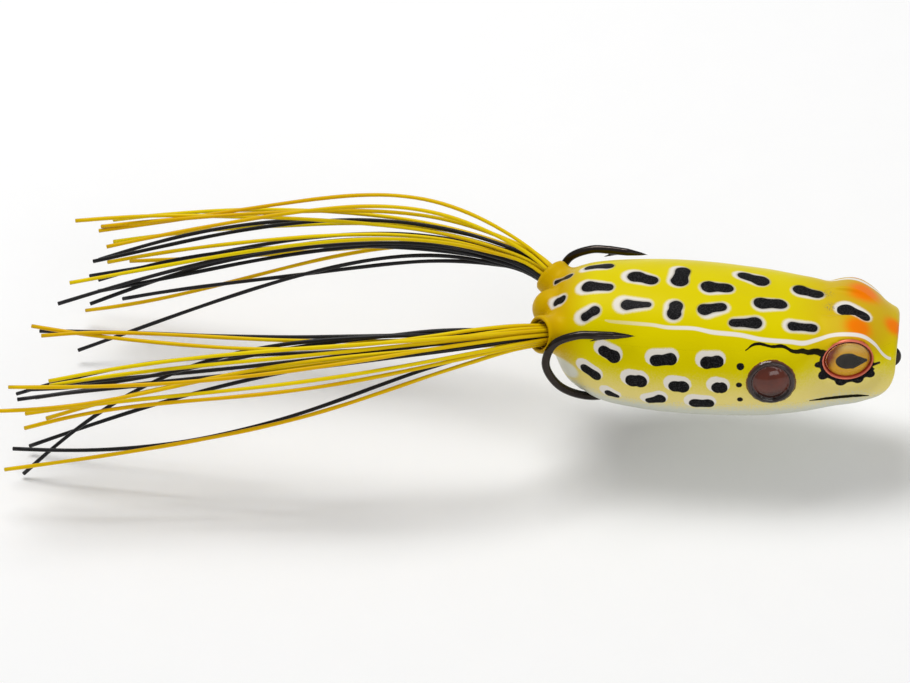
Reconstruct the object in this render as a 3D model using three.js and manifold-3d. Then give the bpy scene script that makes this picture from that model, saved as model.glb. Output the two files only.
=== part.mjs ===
// Hollow-bodied popping frog: a soft moulded shell with a cupped mouth, carried on a forged double
// hook, with a cast tail weight, domed eyes and two rubber-strand legs held by crowned collars.
// Millimetres. +X to the nose, +Y to the frog's left, +Z up. The origin is on the flat of the keel,
// below the middle of the body.
import * as THREE from "three";
import { ParametricGeometry } from "three/addons/geometries/ParametricGeometry.js";
import { mergeVertices } from "three/addons/utils/BufferGeometryUtils.js";
import Module from "manifold-3d";

const wasm = await Module();
wasm.setup();

// ---------------------------------------------------------------- driving dimensions
const AXIS_Z = 11; // height of the body's axis above the keel flat
const TAIL_X = -28.4; // rear of the body, before the rump and the leg ports
const TAIL_ROUND = 5; // length over which the rear rounds off
const MOUTH_X = 31.7; // front of the upper lip
const CHIN_CURVE = 0.078; // how fast the lower lip falls back below the axis
const WALL = 1.25; // soft shell wall
const HOLLOW_END = 19; // the hollow stops here, behind the eyes
const NOSE_WALL = 3; // the wall has thickened to this by then
const CUP_TILT = THREE.MathUtils.degToRad(8);
const GAP = 0.3; // air left between pieces that sit in one another

const WIRE_R = 0.72; // hook wire
const HOOK_SPREAD = 12.75; // half distance between the two bends
const HOOK_TIP_Y = 12.0; // the points toe in a little
const LINE_EYE = new THREE.Vector3(30.15, 0, -2.8); // line-tie eye, from the body axis
const LINE_EYE_R = 1.55; // wire centre radius of the line-tie eye
const LINE_EYE_FLAT = 0.55; // half thickness of the eye where its sides are forged flat
const BARB_WIDTH = 0.45;
const HOOK_PLAY = 1; // how far the hook can slide back in the shell
const SHANK_Y = WIRE_R - 0.06; // each wire from the middle plane; the two are welded along the shank
const CAST_GAP = 0.12; // air between a wire and the piece moulded or cast round it
const NOSE_R = 1.9; // collar that seals the wires in the nose
const NOSE_COLLAR = [22.6, 26.6]; // from back to front
const NOSE_HOLE = [16, 34]; // from the hollow out through the cup
const WEIGHT_AT = new THREE.Vector3(-10.2, 0, -6.9); // rear end of the tail weight
const WEIGHT_RISE = 0.12; // it follows the slope of the shank

const PORT = new THREE.Vector3(-27.7, 8.05, 4.5); // collar centre in the left leg port
const PORT_YAW = THREE.MathUtils.degToRad(39); // how far each port points outward
const PORT_PITCH = THREE.MathUtils.degToRad(20); // and how far it points up
const PORT_R = 3.3; // outside of the port
const PORT_SEAT_R = 2.85; // widened seat where the collar rocks
const PORT_BORE = 2.54; // the lip's opening, too narrow for the collar to be pulled through
const PORT_LIP = 1.6; // from the collar's centre to the port's mouth
const PORT_ROOT = 8; // how far each port reaches into the body
const COLLAR_R = 2.62;
const COLLAR_BORE = 2.24;
const COLLAR_CROWN = 0.12; // how much the collar's ends are drawn in, so that it can rock
const COLLAR_HALF = 0.55; // half the collar's length

const STRAND_R = 0.34;
const STRAND_PITCH = 0.72;
const STRAND_TAIL = 1.15; // how far a strand reaches inward past the collar's centre
const STRAND_LENGTH = 86; // rearward reach of a middling strand
const LEG_Y = 11; // how far a leg swings out before it trails straight back
const LEG_Z = 4.2; // how far it rises before it droops
const LEG_DROOP = 13;
const LEG_CLEAR = 6; // strands keep this far from the middle plane
const LEG_FAN = [4.2, 4.8]; // how far each strand pitch across and up has spread at the tips
const FAN_CHANCE = [4.4, 3.8]; // and how far chance adds to that
const SWAY = [3.0, 3.2]; // how far a strand weaves across and up near its tip
const SWAY_WAVES = [0.6, 0.25]; // waves along a strand, and how far chance adds to that

const EYE = new THREE.Vector3(23.6, 8.4, 2.45); // centre of the left eye's seat
const EYE_R = 4.45;
const EYE_YAW = THREE.MathUtils.degToRad(9); // each eye looks a little forward
const EYE_PITCH = THREE.MathUtils.degToRad(-6); // and a little down
const EYE_SEAT = 0.9; // depth of the seat it is glued into
const RIM = 0.5; // width of the eye's rim
const FACE = 0.2; // height of the skin round each eye above the eye's centre
const FACE_SLOPE = 0.7; // how steeply the cheek rises away from there
const BROW_R = EYE_R + 0.55; // the soft pad each eye sits in
const CROWN = [[23.5, 0, 2.5], [7.5, 9.5, 4.9]]; // centre and radii of the head between the brows

const DRUM = new THREE.Vector3(11.0, 12.95, 0.1); // the left eardrum
const DRUM_TILT = THREE.MathUtils.degToRad(14);
const DRUM_R = 4.25;

// ---------------------------------------------------------------- small tools

// A closed manifold solid from any three.js geometry, with collapsed triangles dropped.
function solid(geometry, matrix = new THREE.Matrix4()) {
  const flat = geometry.index ? geometry.toNonIndexed() : geometry;
  const bare = new THREE.BufferGeometry().setAttribute("position", flat.getAttribute("position").clone());
  const merged = mergeVertices(bare.applyMatrix4(matrix), 1e-4);
  const index = merged.index.array;
  const kept = [];
  for (let i = 0; i < index.length; i += 3) {
    const [a, b, c] = index.slice(i, i + 3);
    if (a !== b && b !== c && a !== c) kept.push(a, b, c);
  }
  const vertProperties = merged.attributes.position.array;
  const make = (triVerts) => new wasm.Manifold(new wasm.Mesh({ numProp: 3, vertProperties, triVerts }));
  const made = make(Uint32Array.from(kept));
  if (made.volume() > 0) return made;
  const turned = kept.map((v, i) => kept[i % 3 === 1 ? i + 1 : i % 3 === 2 ? i - 1 : i]);
  return make(Uint32Array.from(turned));
}

function geometryOf(made) {
  const mesh = made.getMesh();
  const position = new Float32Array(mesh.numVert * 3);
  for (let i = 0; i < mesh.numVert; i++) {
    position.set(mesh.vertProperties.subarray(i * mesh.numProp, i * mesh.numProp + 3), i * 3);
  }
  const geometry = new THREE.BufferGeometry();
  geometry.setAttribute("position", new THREE.BufferAttribute(position, 3));
  geometry.setIndex(new THREE.BufferAttribute(Uint32Array.from(mesh.triVerts), 1));
  const facets = geometry.toNonIndexed();
  facets.computeVertexNormals();
  return facets;
}

// Smooth value at x through rows of [x, value], with level ends (a cubic Hermite through the rows).
function along(rows, x) {
  const last = rows.length - 1;
  if (x <= rows[0][0]) return rows[0][1];
  if (x >= rows[last][0]) return rows[last][1];
  const i = rows.findIndex((row) => row[0] > x) - 1;
  const slope = (k) =>
    k <= 0 || k >= last ? 0 : (rows[k + 1][1] - rows[k - 1][1]) / (rows[k + 1][0] - rows[k - 1][0]);
  const [x0, v0] = rows[i];
  const [x1, v1] = rows[i + 1];
  const h = x1 - x0;
  const t = (x - x0) / h;
  return (
    v0 * (1 + 2 * t) * (1 - t) ** 2 +
    slope(i) * h * t * (1 - t) ** 2 +
    v1 * t * t * (3 - 2 * t) +
    slope(i + 1) * h * t * t * (t - 1)
  );
}

// A solid of revolution about the line from `at` along `direction`; profile rows are [radius, distance].
function turned(profile, at, direction, segments = 24) {
  const lathe = new THREE.LatheGeometry(profile.map(([r, d]) => new THREE.Vector2(r, d)), segments);
  const turn = new THREE.Quaternion().setFromUnitVectors(new THREE.Vector3(0, 1, 0), direction);
  return solid(lathe, new THREE.Matrix4().compose(at, turn, new THREE.Vector3(1, 1, 1)));
}

function rod(radius, from, to, segments = 24) {
  const reach = to.clone().sub(from);
  const profile = [[0, 0], [radius, 0], [radius, reach.length()], [0, reach.length()]];
  return turned(profile, from, reach.normalize(), segments);
}

function tube(curve, radius, sides, steps) {
  const ring = new THREE.Shape();
  for (let i = 0; i < sides; i++) {
    const angle = (2 * Math.PI * i) / sides;
    const [x, y] = [radius * Math.cos(angle), radius * Math.sin(angle)];
    i ? ring.lineTo(x, y) : ring.moveTo(x, y);
  }
  return new THREE.ExtrudeGeometry(ring, { steps, extrudePath: curve, bevelEnabled: false });
}

const mirrorPoint = (p, side) => new THREE.Vector3(p.x, side * p.y, p.z);

// ---------------------------------------------------------------- the body's outline, along x
const HALF_WIDTH = [[-28.4, 9.0], [-24.5, 10.3], [-21, 11.7], [-16, 13.1], [-8, 14.1], [0, 14.3], [8, 13.8],
  [14, 12.9], [19, 11.7], [23, 10.8], [28, 9.9], [31.7, 8.6]];
const WIDEST_Z = [[-28.4, 3.6], [-25, 3.0], [-21, 1.6], [-16, 0.4], [-8, -0.4], [0, -0.7], [8, -1.3],
  [14, -2.1], [19, -2.7], [25, -3.1], [31.7, -3.0]];
const TOP_Z = [[-28.4, 8.6], [-24.5, 9.6], [-21, 10.8], [-16, 11.2], [-8, 11.2], [0, 10.6], [8, 9.5],
  [14, 8.4], [19, 7.6], [25, 6.4], [28.5, 4.9], [31.7, 4.3]];
const BOTTOM_Z = [[-28.4, -2.2], [-27.2, -4.2], [-25, -7.4], [-20, -10.5], [-14, -11.1], [8, -11.15],
  [16.7, -10.1], [22.5, -9.3], [28.3, -8.9], [31.7, -8.6]];
const TOP_POWER = [[-28.4, 2.1], [-8, 2.3], [5, 2.5], [14, 3.0], [19, 3.4], [24, 3.3], [31.7, 2.8]];
const BOTTOM_POWER = [[-28.4, 2.1], [-8, 2.6], [31.7, 2.5]];

// The point of the skin (or of the hollow, inset from it) at station x and angle round the section.
function skinPoint(x, angle, inset, roundOff, target) {
  const round = (value, power) => Math.sign(value) * Math.abs(value) ** (2 / power);
  const [c, s] = [Math.cos(angle), Math.sin(angle)];
  const power = along(s > 0 ? TOP_POWER : BOTTOM_POWER, x);
  const middle = along(WIDEST_Z, x);
  const reach = (s > 0 ? along(TOP_Z, x) - middle : middle - along(BOTTOM_Z, x)) - inset;
  const z = Math.max(middle + roundOff * reach * round(s, power), inset - AXIS_Z);
  const chin = CHIN_CURVE * Math.min(z, 0) ** 2 * THREE.MathUtils.smoothstep(x, 16, MOUTH_X);
  target.set(x - chin, roundOff * (along(HALF_WIDTH, x) - inset) * round(c, power), z);
}

// A closed loft along x. stationOf gives x, the inset there and the round-off at the ends.
function loft(stationOf, slices, stacks) {
  const place = (u, v, target) => {
    const { x, inset, roundOff } = stationOf(v);
    skinPoint(x, 2 * Math.PI * u, inset, roundOff, target);
  };
  return solid(new ParametricGeometry(place, slices, stacks));
}

const domed = (distance, length) => Math.sqrt(Math.max(0, 1 - (Math.min(distance, 0) / length) ** 2));

function skinStation(v) {
  const x = v >= 1 ? MOUTH_X : TAIL_X + (MOUTH_X - TAIL_X) * Math.min(1, v * 1.03) ** 1.35;
  return { x, inset: 0, roundOff: v >= 1 ? 0 : domed(x - TAIL_X - TAIL_ROUND, TAIL_ROUND) };
}

const HOLLOW_WALL = [[TAIL_X, WALL], [10, WALL], [HOLLOW_END, NOSE_WALL]];
function hollowStation(v) {
  const start = TAIL_X + WALL;
  const x = start + (HOLLOW_END - start) * v;
  const roundOff = domed(x - start - TAIL_ROUND, TAIL_ROUND) * domed(HOLLOW_END - 4 - x, 4);
  return { x, inset: along(HOLLOW_WALL, x), roundOff: v <= 0 || v >= 1 ? 0 : roundOff };
}

// ---------------------------------------------------------------- leg ports and eye seats
const portAxis = (side) =>
  new THREE.Vector3(
    -Math.cos(PORT_YAW) * Math.cos(PORT_PITCH),
    side * Math.sin(PORT_YAW) * Math.cos(PORT_PITCH),
    Math.sin(PORT_PITCH),
  );
const eyeAxis = (side) =>
  new THREE.Vector3(Math.sin(EYE_YAW), side * Math.cos(EYE_YAW), Math.sin(EYE_PITCH)).normalize();

function portStub(side) {
  const profile = [[0, -PORT_ROOT], [PORT_R + 0.5, -PORT_ROOT], [PORT_R - 0.15, -2],
    [PORT_R + 0.05, PORT_LIP - 0.5], [PORT_R - 0.15, PORT_LIP], [0, PORT_LIP]];
  return turned(profile, mirrorPoint(PORT, side), portAxis(side), 20);
}

function portBore(side) {
  const inner = 1 - PORT_ROOT;
  const profile = [[0, inner], [PORT_SEAT_R, inner], [PORT_SEAT_R, COLLAR_HALF + GAP],
    [PORT_BORE, COLLAR_HALF + 2 * GAP], [PORT_BORE, PORT_LIP - 0.4], [PORT_BORE + 0.35, PORT_LIP + 1],
    [0, PORT_LIP + 1]];
  return turned(profile, mirrorPoint(PORT, side), portAxis(side), 20);
}

// The cheek is drawn in round each eye, down to the pad the eye sits in.
function eyeFlare(side) {
  const outer = EYE_R + 6;
  const rise = FACE + FACE_SLOPE * (outer - BROW_R);
  const profile = [[0, FACE], [BROW_R, FACE], [outer, rise], [0, rise]];
  return turned(profile, mirrorPoint(EYE, side), eyeAxis(side), 24);
}

function browPad(side) {
  const profile = [[0, -5], [BROW_R + 0.75, -5], [BROW_R, FACE], [0, FACE]];
  return turned(profile, mirrorPoint(EYE, side), eyeAxis(side), 24);
}

function eyeSeat(side) {
  const at = mirrorPoint(EYE, side);
  return rod(EYE_R + GAP, at.clone().addScaledVector(eyeAxis(side), -EYE_SEAT),
    at.clone().addScaledVector(eyeAxis(side), 6), 24);
}

// A raised moulded ring with a low dome in it: the frog's eardrum.
function eardrum(side) {
  const profile = [[0, -2], [DRUM_R, -2], [DRUM_R, 0.15], [DRUM_R - 0.35, 0.5], [DRUM_R - 1.15, 0.2],
    [0, 0.6]];
  const axis = new THREE.Vector3(0, side * Math.cos(DRUM_TILT), Math.sin(DRUM_TILT));
  return turned(profile, mirrorPoint(DRUM, side), axis, 20);
}

// ---------------------------------------------------------------- the double hook
// One wire's path on the left side, from the split of the shank round the bend to the point.
function bendCurve(side) {
  const path = [
    [-6, SHANK_Y, -7.0], [-10.5, 0.95, -8.2], [-14.5, 2.4, -9.7], [-18.6, 5.7, -9.7], [-22.3, 9.4, -6.9],
    [-25.5, 12.0, -3.0], [-27.3, HOOK_SPREAD, 1.6], [-25.8, HOOK_SPREAD, 5.9], [-22, HOOK_SPREAD, 7.9],
    [-18.4, HOOK_SPREAD - 0.15, 8.1],
  ];
  return new THREE.CatmullRomCurve3(path.map(([x, y, z]) => new THREE.Vector3(x, side * y, z)));
}

function shankCurve(side) {
  const path = [
    [LINE_EYE.x - LINE_EYE_R, 0.45, LINE_EYE.z], [26, SHANK_Y, LINE_EYE.z], [21, SHANK_Y, -2.95],
    [10, SHANK_Y, -4.6], [-6, SHANK_Y, -7.0],
  ];
  return new THREE.CatmullRomCurve3(path.map(([x, y, z]) => new THREE.Vector3(x, side * y, z)));
}

function hookPoint(side) {
  const from = new THREE.Vector3(-18.6, side * (HOOK_SPREAD - 0.15), 8.1);
  const to = new THREE.Vector3(-11.9, side * HOOK_TIP_Y, 7.8);
  const reach = to.distanceTo(from);
  const profile = [[0, 0], [WIRE_R, 0], [WIRE_R * 0.9, reach * 0.45], [WIRE_R * 0.45, reach * 0.8],
    [0, reach]];
  return turned(profile, from, to.sub(from).normalize(), 10);
}

// The barb stands on the inside of the point and slopes back toward the bend.
function barb(side) {
  const shape = new THREE.Shape([[1.1, 0], [3, 0], [0, -1.05]].map(([x, y]) => new THREE.Vector2(x, y)));
  const wedge = new THREE.ExtrudeGeometry(shape, { depth: BARB_WIDTH, bevelEnabled: false });
  const stand = new THREE.Matrix4().makeRotationX(Math.PI / 2);
  stand.setPosition(-19.6, side * (HOOK_SPREAD - 0.25) + BARB_WIDTH / 2, 7.65);
  return solid(wedge, stand);
}

function wires(radius, sides) {
  const parts = [1, -1].flatMap((side) => [
    solid(tube(shankCurve(side), radius, sides, 8)),
    solid(tube(bendCurve(side), radius, sides, 24)),
  ]);
  return parts.reduce((whole, next) => whole.add(next));
}

function doubleHook() {
  const ring = solid(new THREE.TorusGeometry(LINE_EYE_R, WIRE_R, 8, 20),
    new THREE.Matrix4().makeRotationX(Math.PI / 2).setPosition(LINE_EYE));
  const forging = (side) => solid(new THREE.BoxGeometry(9, 2, 9),
    new THREE.Matrix4().setPosition(LINE_EYE.x + 1.1, side * (LINE_EYE_FLAT + 1), LINE_EYE.z));
  let hook = wires(WIRE_R, 8).add(ring);
  for (const side of [1, -1]) hook = hook.add(hookPoint(side)).add(barb(side)).subtract(forging(side));
  return hook;
}

// ---------------------------------------------------------------- shell, weight and collar
function ellipsoid([x, y, z], [rx, ry, rz], tilt = 0, segments = 20) {
  const place = new THREE.Matrix4().makeRotationY(tilt).scale(new THREE.Vector3(rx, ry, rz));
  place.setPosition(x, y, z);
  return solid(new THREE.SphereGeometry(1, segments, Math.round(segments * 0.7)), place);
}

// Room for the hook's wires, also where they are when the hook has slid back.
function wireRoom() {
  const wire = wires(WIRE_R + GAP, 8);
  const slid = [0.5, 1].map((share) => wire.translate([-HOOK_PLAY * share, 0, 0]));
  return slid.reduce((room, next) => room.add(next), wire);
}

function bodyShell() {
  const rump = ellipsoid([-27.2, 0, 4.1], [3.7, 3.3, 3.6]);
  let shell = loft(skinStation, 32, 28).add(rump);
  for (const side of [1, -1]) shell = shell.subtract(eyeFlare(side));
  for (const side of [1, -1]) shell = shell.add(portStub(side)).add(browPad(side)).add(eardrum(side));
  shell = shell.add(ellipsoid(...CROWN));
  const keel = solid(new THREE.BoxGeometry(200, 80, 20), new THREE.Matrix4().setPosition(0, 0, -AXIS_Z - 10));
  const cup = ellipsoid([32, 0, -2], [5, 7.5, 5.3], CUP_TILT);
  const hookSlot = ellipsoid([-17, 0, -11.5], [8.5, 6.2, 3.6]);
  const [back, front] = NOSE_HOLE.map((x) => new THREE.Vector3(x, 0, LINE_EYE.z));
  const noseHole = rod(NOSE_R + GAP, back, front, 16);
  for (const cut of [keel, loft(hollowStation, 22, 16), cup, hookSlot, noseHole, wireRoom()]) {
    shell = shell.subtract(cut);
  }
  for (const side of [1, -1]) shell = shell.subtract(portBore(side)).subtract(eyeSeat(side));
  return shell;
}

function noseCollar() {
  const [back, front] = NOSE_COLLAR.map((x) => new THREE.Vector3(x, 0, LINE_EYE.z));
  return rod(NOSE_R, back, front, 16).subtract(wires(WIRE_R + CAST_GAP, 8));
}

function tailWeight() {
  const profile = [[0, 0], [1.8, 0.5], [2.8, 2.2], [3.05, 6], [2.2, 11.6], [1.2, 14], [0, 14.4]];
  const slope = new THREE.Vector3(1, 0, WEIGHT_RISE).normalize();
  return turned(profile, WEIGHT_AT, slope, 16).subtract(wires(WIRE_R + CAST_GAP, 8));
}

// ---------------------------------------------------------------- eyes
const DOME_R = EYE_R - RIM - 0.1;
const EYE_PROFILES = {
  eye_ring: [[EYE_R - RIM, -0.8], [EYE_R, -0.8], [EYE_R, 0.25], [EYE_R - 0.15, 0.5], [EYE_R - 0.35, 0.5],
    [EYE_R - RIM, 0.3], [EYE_R - RIM, -0.8]],
  eye_foil: [[0, -0.8], [DOME_R, -0.8], [DOME_R, -0.45], [0, -0.45]],
  eye_dome: [[0, -0.4], [DOME_R, -0.4], [DOME_R, 0.15], [3.1, 0.72], [2.1, 1.25], [1.05, 1.55], [0, 1.65]],
};

// ---------------------------------------------------------------- legs
const COLLAR_PROFILE = [[COLLAR_BORE, -COLLAR_HALF], [COLLAR_R - COLLAR_CROWN, -COLLAR_HALF], [COLLAR_R, 0],
  [COLLAR_R - COLLAR_CROWN, COLLAR_HALF], [COLLAR_BORE, COLLAR_HALF], [COLLAR_BORE, -COLLAR_HALF]];

// A repeatable stand-in for chance, between -1 and 1.
const chance = (seed) => {
  const wave = Math.sin(seed * 127.1 + 11.7) * 43758.5453;
  return 2 * (wave - Math.floor(wave)) - 1;
};

// The nineteen places of a hexagonal bundle, as [across, up] in strand pitches.
function hexPlaces() {
  const places = [];
  for (let row = 2; row >= -2; row--) {
    const count = 5 - Math.abs(row);
    for (let i = 0; i < count; i++) places.push([i - (count - 1) / 2, row * Math.sin(Math.PI / 3)]);
  }
  return places;
}

const STATIONS = 56; // places along a strand where neighbours are kept apart
const STRAND_SPACING = 1.2; // in strand thicknesses
const SPREAD_PASSES = 80; // rounds of pushing neighbours apart
const SMOOTH_PASSES = 70; // all but the last rounds also smooth the strands
const REACH_MAX = STRAND_LENGTH + 9;
const rearward = (k) => (REACH_MAX * k) / STATIONS;

// Strands that leave the bundle: how far [outward, up] each strays early on, by the middle and by its tip.
const NOWHERE = [0, 0];
const STRAYS = {
  left: {
    0: [[-0.5, 6], [0, 1], [0, -4]],
    1: [[0.8, 5.2], [0, 1], [0, -4.5]],
    2: [[1.5, 2], [0, 1], [1, -2]],
    17: [NOWHERE, [0, -1.5], [1, -1]],
  },
  right: {
    0: [NOWHERE, [1, -2.5], [1, -2]],
    3: [NOWHERE, [1, 2], [8, -20]],
    14: [NOWHERE, [0, 0], [2, 8]],
    17: [NOWHERE, [4.5, -5.5], [1, -1]],
    18: [NOWHERE, [4, -4.5], [1, 1]],
  },
};

// Where a strand wants to be at rearward distance t, as [y, z] on the left side, from the body axis.
function wantedPlace([across, up], t, seed, stray) {
  const share = t / STRAND_LENGTH;
  const slopeY = Math.tan(PORT_YAW);
  const slopeZ = Math.tan(PORT_PITCH) / Math.cos(PORT_YAW);
  const swing = LEG_Y * (1 - Math.exp((-t * slopeY) / LEG_Y));
  const rise = LEG_Z * (1 - Math.exp((-t * slopeZ) / LEG_Z)) - LEG_DROOP * share ** 1.5;
  const sway = (pick) => {
    const waves = SWAY_WAVES[0] + SWAY_WAVES[1] * chance(seed + pick);
    return share * Math.sin(2 * Math.PI * share * waves + 3 * chance(seed + pick + 0.4));
  };
  const fanY = LEG_FAN[0] * across + FAN_CHANCE[0] * chance(seed);
  const fanZ = LEG_FAN[1] * up + FAN_CHANCE[1] * chance(seed + 0.5);
  const arch = (t / 26) ** 1.5 * Math.exp(1.5 - t / 17.3);
  const open = share ** 1.25;
  const weights = [arch, Math.sin((Math.PI * share) / 1.15) * Math.min(1, 2.5 * share), share ** 3];
  const [outward, upward] = [0, 1].map((c) => weights.reduce((sum, w, k) => sum + w * stray[k][c], 0));
  const midline = LEG_CLEAR * Math.min(1, 4 * share);
  return [
    Math.max(midline, PORT.y + swing + open * fanY + outward + SWAY[0] * sway(0.25)),
    PORT.z + rise + open * fanZ + upward + SWAY[1] * sway(0.35),
  ];
}

// The paths of one leg's strands, spread out as wanted but pushed apart wherever two would touch.
function strandPaths(side, seed, strays) {
  const still = [NOWHERE, NOWHERE, NOWHERE];
  const axis = portAxis(side);
  const across = new THREE.Vector3(-axis.y, axis.x, 0).normalize().multiplyScalar(-side);
  const up = new THREE.Vector3().crossVectors(axis, across).normalize();
  if (up.z < 0) up.negate();
  const root = hexPlaces().map(([a, u]) =>
    mirrorPoint(PORT, side).addScaledVector(across, a * STRAND_PITCH).addScaledVector(up, u * STRAND_PITCH));
  const rows = hexPlaces().map((place, i) => {
    const row = [];
    for (let k = 0; k <= STATIONS; k++) {
      const t = rearward(k);
      const [y, z] = wantedPlace(place, t, seed + i * 7.3, strays[i] ?? still);
      row.push([side * (y - PORT.y) + root[i].y, z - PORT.z + root[i].z]);
    }
    return row;
  });
  for (let pass = 0; pass < SPREAD_PASSES; pass++) {
    for (let k = 2; k <= STATIONS; k++) pushApart(rows.map((row) => row[k]), 2 * STRAND_R * STRAND_SPACING);
    if (pass < SMOOTH_PASSES) for (const row of rows) smoothRow(row);
  }
  return rows.map((row, i) => ({ root: root[i], row, axis }));
}

function pushApart(points, apart) {
  for (let i = 0; i < points.length; i++) {
    for (let j = i + 1; j < points.length; j++) {
      const [dy, dz] = [points[j][0] - points[i][0], points[j][1] - points[i][1]];
      const distance = Math.max(Math.hypot(dy, dz), 1e-6);
      if (distance >= apart) continue;
      const push = (0.5 * (apart - distance)) / distance;
      points[i][0] -= dy * push;
      points[i][1] -= dz * push;
      points[j][0] += dy * push;
      points[j][1] += dz * push;
    }
  }
}

function smoothRow(row) {
  const before = row.map(([y, z]) => [y, z]);
  for (let k = 3; k < row.length - 1; k++) {
    for (const c of [0, 1]) {
      row[k][c] = 0.5 * before[k][c] + 0.25 * (before[k - 1][c] + before[k + 1][c]);
    }
  }
}

function strandCurve({ root, row, axis }, length, inner) {
  const points = [inner, 0, PORT_LIP + 0.4].map((d) => root.clone().addScaledVector(axis, d));
  for (let k = 3; rearward(k) < length; k += 4) points.push(new THREE.Vector3(root.x - rearward(k), ...row[k]));
  const k = Math.round((length / REACH_MAX) * STATIONS);
  const lastPoint = new THREE.Vector3(root.x - rearward(k), ...row[k]);
  if (points.at(-1).distanceTo(lastPoint) < 3) points.pop();
  points.push(lastPoint);
  return new THREE.CatmullRomCurve3(points, false, "centripetal");
}

// ---------------------------------------------------------------- assembly
const material = (color, roughness, metalness = 0) =>
  new THREE.MeshStandardMaterial({ color, roughness, metalness });
const MATERIALS = {
  skin: material(0xd9cf10, 0.35),
  steel: material(0x2b2826, 0.3, 0.9),
  lead: material(0x6c7076, 0.6, 0.7),
  nickel: material(0x8d8f90, 0.3, 0.9),
  copper: material(0xc46a4c, 0.25, 0.8),
  gold: material(0xcf9a2c, 0.3, 0.7),
  clear: new THREE.MeshStandardMaterial({ color: 0xfff4dc, roughness: 0.05, transparent: true, opacity: 0.3 }),
  band: material(0x2a2a2a, 0.7),
  yellow: material(0xd2a911, 0.45),
  black: material(0x1c1b1c, 0.45),
};

const frog = new THREE.Group();
frog.name = "popping_frog";
const onAxis = new THREE.Group();
onAxis.position.z = AXIS_Z;
frog.add(onAxis);

function addPiece(name, geometry, slot) {
  const mesh = new THREE.Mesh(geometry, MATERIALS[slot]);
  mesh.name = name;
  onAxis.add(mesh);
  return mesh;
}

addPiece("body_shell", geometryOf(bodyShell()), "skin");
addPiece("double_hook", geometryOf(doubleHook()), "steel");
addPiece("tail_weight", geometryOf(tailWeight()), "lead");
addPiece("nose_collar", geometryOf(noseCollar()), "nickel");

const BLACK_PLACES = { left: [5, 7, 8, 10, 12, 13, 15, 16, 17], right: [3, 4, 7, 8, 10, 12, 13, 16, 17] };
for (const [label, side, seed] of [["left", 1, 3], ["right", -1, 41]]) {
  const slots = { eye_ring: "copper", eye_foil: "gold", eye_dome: "clear" };
  for (const [piece, profile] of Object.entries(EYE_PROFILES)) {
    const made = turned(profile, mirrorPoint(EYE, side), eyeAxis(side), 20);
    addPiece(`${label}_${piece}`, geometryOf(made), slots[piece]);
  }
  const collar = turned(COLLAR_PROFILE, mirrorPoint(PORT, side), portAxis(side), 16);
  addPiece(`${label}_leg_collar`, geometryOf(collar), "band");
  strandPaths(side, seed, STRAYS[label]).forEach((path, i) => {
    const length = STRAND_LENGTH + 4.5 * chance(seed + 3 * i) - 2 * side;
    const curve = strandCurve(path, length, -STRAND_TAIL);
    const name = `${label}_strand_${String(i + 1).padStart(2, "0")}`;
    const slot = BLACK_PLACES[label].includes(i) ? "black" : "yellow";
    addPiece(name, geometryOf(solid(tube(curve, STRAND_R, 5, 13))), slot);
  });
}

export default frog;
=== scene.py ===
"""Hollow soft popping frog with a cupped mouth, a double hook and two rubber-strand legs.

Shapes are worked out in millimetres from the body's axis, then placed in metres in the CAD frame.
"""
import math

import bpy
import numpy as np
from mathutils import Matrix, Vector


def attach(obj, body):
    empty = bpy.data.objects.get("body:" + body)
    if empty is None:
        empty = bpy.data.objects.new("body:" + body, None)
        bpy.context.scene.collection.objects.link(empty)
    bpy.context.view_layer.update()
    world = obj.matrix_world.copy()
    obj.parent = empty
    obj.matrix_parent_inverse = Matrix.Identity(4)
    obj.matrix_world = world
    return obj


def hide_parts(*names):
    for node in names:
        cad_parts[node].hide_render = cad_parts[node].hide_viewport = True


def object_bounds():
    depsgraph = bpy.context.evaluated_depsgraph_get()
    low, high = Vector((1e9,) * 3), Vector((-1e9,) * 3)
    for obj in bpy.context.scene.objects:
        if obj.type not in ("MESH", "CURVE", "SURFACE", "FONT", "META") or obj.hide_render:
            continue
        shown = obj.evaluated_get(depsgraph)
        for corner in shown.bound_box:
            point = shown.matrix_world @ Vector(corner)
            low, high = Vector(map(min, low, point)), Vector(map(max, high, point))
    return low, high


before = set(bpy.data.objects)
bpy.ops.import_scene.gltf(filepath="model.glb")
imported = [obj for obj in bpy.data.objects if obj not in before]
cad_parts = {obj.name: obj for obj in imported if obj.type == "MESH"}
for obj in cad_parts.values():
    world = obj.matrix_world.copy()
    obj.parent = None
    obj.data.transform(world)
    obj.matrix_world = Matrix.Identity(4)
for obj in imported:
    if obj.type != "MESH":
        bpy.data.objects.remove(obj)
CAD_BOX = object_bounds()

import openvdb
from mathutils import Matrix, Vector

MM = 0.001
AXIS_Z = 11.0  # height of the body's axis above the keel

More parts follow.
